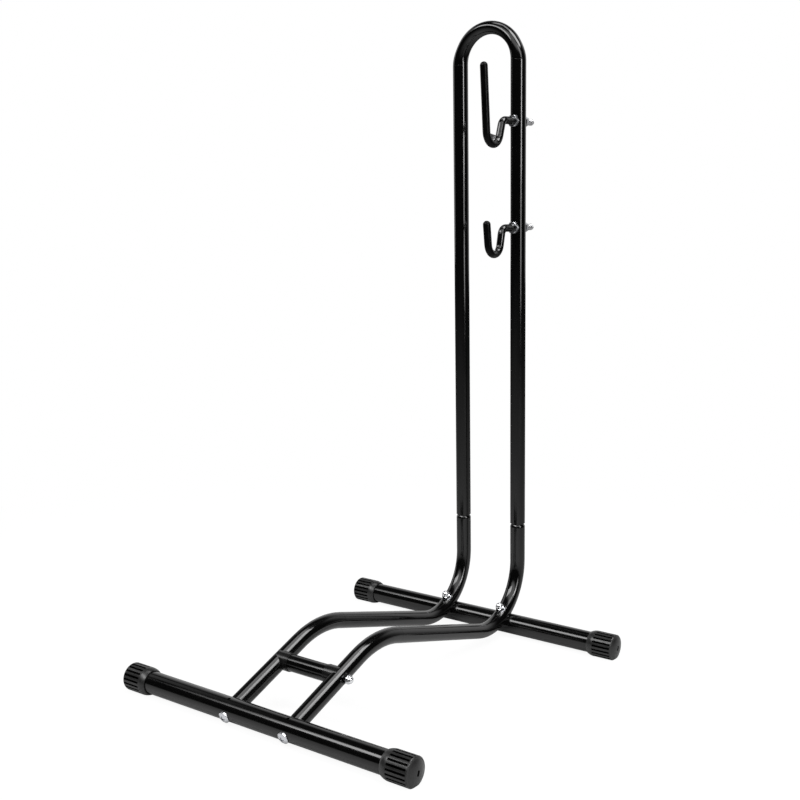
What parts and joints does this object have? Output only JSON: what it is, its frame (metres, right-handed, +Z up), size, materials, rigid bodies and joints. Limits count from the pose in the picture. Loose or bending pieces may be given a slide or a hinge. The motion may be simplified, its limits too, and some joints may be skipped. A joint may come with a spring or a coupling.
{
  "type": "floor bike rack",
  "caption": "Floor stand for one bicycle: black steel tubes with ribbed plastic end caps, a tall hoop that holds the wheel upright and coated hooks on one leg.",
  "frame": {"origin": "the middle of the footprint, on the floor that the four end caps stand on", "axes": "+Z points up, +Y from the front tube, where the wheel rolls in, to the upright hoop, and +X along the base tubes towards the leg with the hooks"},
  "size_m": [0.405, 0.4748, 0.768],
  "materials": {
    "black_paint": "gloss black powder coat",
    "cap_plastic": "matte moulded plastic",
    "saddle_plastic": "satin moulded plastic",
    "dipped_coating": "gloss dipped coating",
    "zinc_steel": "bright zinc plate",
    "chrome_plate": "polished plate",
    "plain_steel": "plain threaded steel"
  },
  "bodies": {
    "base": {"front_base_tube": "black_paint", "rear_base_tube": "black_paint", "front_left_cap": "cap_plastic", "front_right_cap": "cap_plastic", "rear_left_cap": "cap_plastic", "rear_right_cap": "cap_plastic", "left_rail": "black_paint", "right_rail": "black_paint", "left_rail_plug": "plain_steel", "right_rail_plug": "plain_steel", "left_front_bolt": "zinc_steel", "right_front_bolt": "zinc_steel", "left_rear_bolt": "zinc_steel", "right_rear_bolt": "zinc_steel", "left_rear_washer": "zinc_steel", "right_rear_washer": "zinc_steel", "left_rear_cap_nut": "chrome_plate", "right_rear_cap_nut": "chrome_plate", "cross_bar": "black_paint", "left_saddle": "saddle_plastic", "right_saddle": "saddle_plastic", "cross_bolt": "zinc_steel", "cross_cap_nut": "chrome_plate"},
    "hoop": {"hoop": "black_paint"},
    "upper_nuts": {"upper_front_nut": "zinc_steel", "upper_rear_nut": "zinc_steel"},
    "upper_hook": {"upper_hook_rod": "plain_steel", "upper_hook_coating": "dipped_coating"},
    "lower_nuts": {"lower_front_nut": "zinc_steel", "lower_rear_nut": "zinc_steel"},
    "lower_hook": {"lower_hook_rod": "plain_steel", "lower_hook_coating": "dipped_coating"}
  },
  "joints": [
    {"name": "hoop_lift", "type": "slide", "parent": "base", "child": "hoop", "axis": [0, -0.0272, 0.9996], "range_m": [0, 0.04]},
    {"name": "upper_hook_swivel", "type": "hinge", "parent": "hoop", "child": "upper_nuts", "pos_m": [0.042, 0.20227, 0.64508], "axis": [0, 0.9996, 0.0272], "range_deg": [-180, 180]},
    {"name": "upper_hook_reach", "type": "slide", "parent": "upper_nuts", "child": "upper_hook", "axis": [0, -0.9996, -0.0272], "range_m": [0, 0.015]},
    {"name": "lower_hook_swivel", "type": "hinge", "parent": "hoop", "child": "lower_nuts", "pos_m": [0.042, 0.20572, 0.51813], "axis": [0, 0.9996, 0.0272], "range_deg": [-180, 180]},
    {"name": "lower_hook_reach", "type": "slide", "parent": "lower_nuts", "child": "lower_hook", "axis": [0, -0.9996, -0.0272], "range_m": [0, 0.015]}
  ]
}
